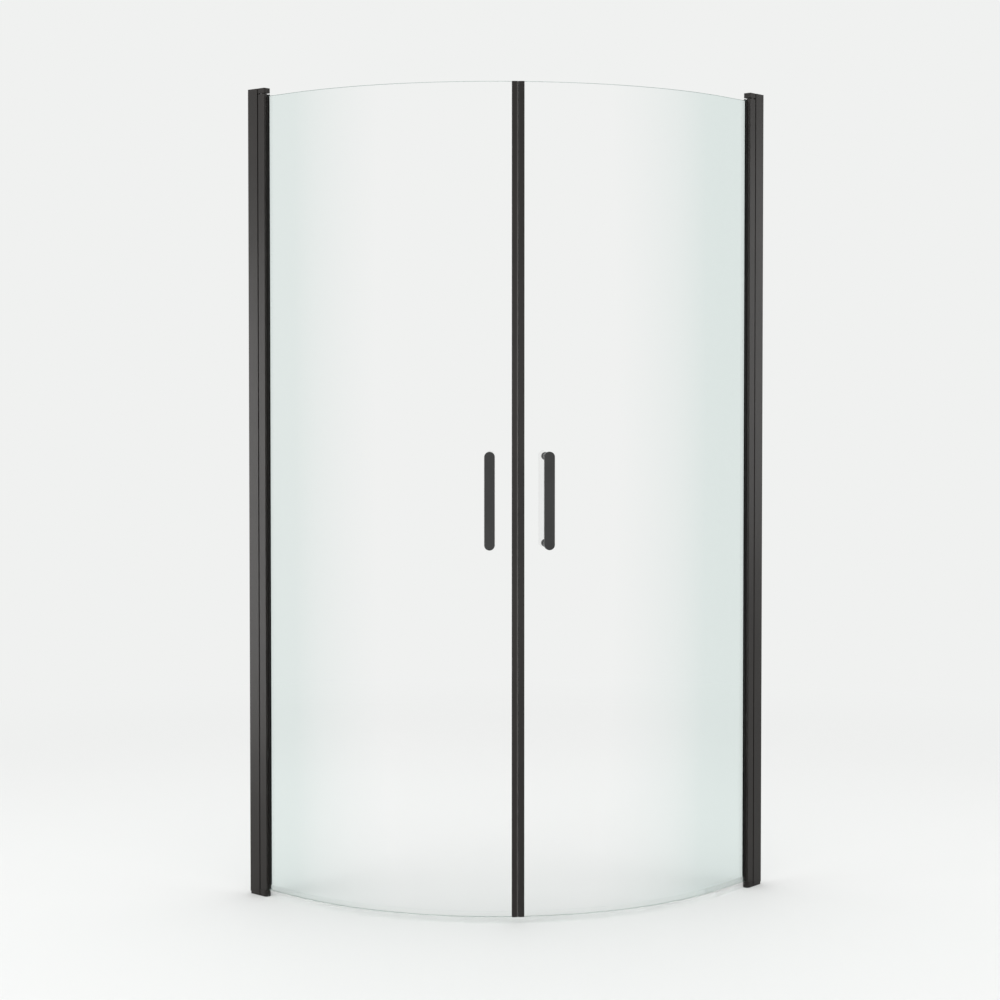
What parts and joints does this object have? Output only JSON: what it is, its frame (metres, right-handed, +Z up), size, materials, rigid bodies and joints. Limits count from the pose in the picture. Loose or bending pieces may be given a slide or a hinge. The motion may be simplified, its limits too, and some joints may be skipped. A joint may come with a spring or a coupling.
{
  "type": "quadrant shower enclosure",
  "caption": "Quadrant shower enclosure with curved clear glass hinged doors, black wall and pivot profiles, magnetic closing edges, clear drip seals and flat bar handles.",
  "frame": {"origin": "on the floor, in the middle of the square footprint of the enclosure", "axes": "+Z up; the left wall is at -X and the right wall at +Y, so the wall corner is at -X +Y and the round front looks towards +X -Y"},
  "size_m": [0.89, 0.89, 1.95],
  "materials": {
    "black_aluminium": "fine matt black powder coat on extruded aluminium",
    "black_casting": "matt black powder coat on die-cast zinc",
    "black_handle": "satin black powder coat on stainless steel",
    "stainless_steel": "turned stainless steel",
    "clear_glass": "clear toughened glass, 6 mm, polished edges",
    "clear_vinyl": "clear soft vinyl",
    "black_rubber": "matt black rubber",
    "magnetic_rubber": "satin black magnetic rubber",
    "black_plastic": "moulded black acetal"
  },
  "bodies": {
    "wall_frame": {"left_wall_profile": "black_aluminium", "left_post_profile": "black_aluminium", "left_post_seal": "black_rubber", "left_clamp_screws": "stainless_steel", "left_screw_caps": "black_plastic", "left_top_hinge_block": "black_casting", "left_bottom_hinge_block": "black_casting", "left_hinge_block_screws": "stainless_steel", "left_top_hinge_pin": "stainless_steel", "left_bottom_hinge_pin": "stainless_steel", "right_wall_profile": "black_aluminium", "right_post_profile": "black_aluminium", "right_post_seal": "black_rubber", "right_clamp_screws": "stainless_steel", "right_screw_caps": "black_plastic", "right_top_hinge_block": "black_casting", "right_bottom_hinge_block": "black_casting", "right_hinge_block_screws": "stainless_steel", "right_top_hinge_pin": "stainless_steel", "right_bottom_hinge_pin": "stainless_steel"},
    "left_door": {"left_pivot_profile": "black_aluminium", "left_top_bush": "black_plastic", "left_bottom_bush": "black_plastic", "left_glass_door": "clear_glass", "left_glazing_gasket": "black_rubber", "left_drip_seal": "clear_vinyl", "left_magnet_profile": "black_aluminium", "left_magnet_strip": "magnetic_rubber", "left_handle_bar": "black_handle", "left_handle_posts": "black_handle", "left_handle_sleeves": "clear_vinyl", "left_handle_washers": "clear_vinyl", "left_handle_studs": "stainless_steel", "left_handle_knobs": "black_handle"},
    "right_door": {"right_pivot_profile": "black_aluminium", "right_top_bush": "black_plastic", "right_bottom_bush": "black_plastic", "right_glass_door": "clear_glass", "right_glazing_gasket": "black_rubber", "right_drip_seal": "clear_vinyl", "right_magnet_profile": "black_aluminium", "right_magnet_strip": "magnetic_rubber", "right_handle_bar": "black_handle", "right_handle_posts": "black_handle", "right_handle_sleeves": "clear_vinyl", "right_handle_washers": "clear_vinyl", "right_handle_studs": "stainless_steel", "right_handle_knobs": "black_handle"}
  },
  "joints": [
    {"name": "left_door_hinge", "type": "hinge", "parent": "wall_frame", "child": "left_door", "pos_m": [-0.4003, -0.4376, 0], "axis": [0, 0, -1], "range_deg": [0, 90]},
    {"name": "right_door_hinge", "type": "hinge", "parent": "wall_frame", "child": "right_door", "pos_m": [0.4376, 0.4003, 0], "axis": [0, 0, 1], "range_deg": [0, 90]}
  ]
}
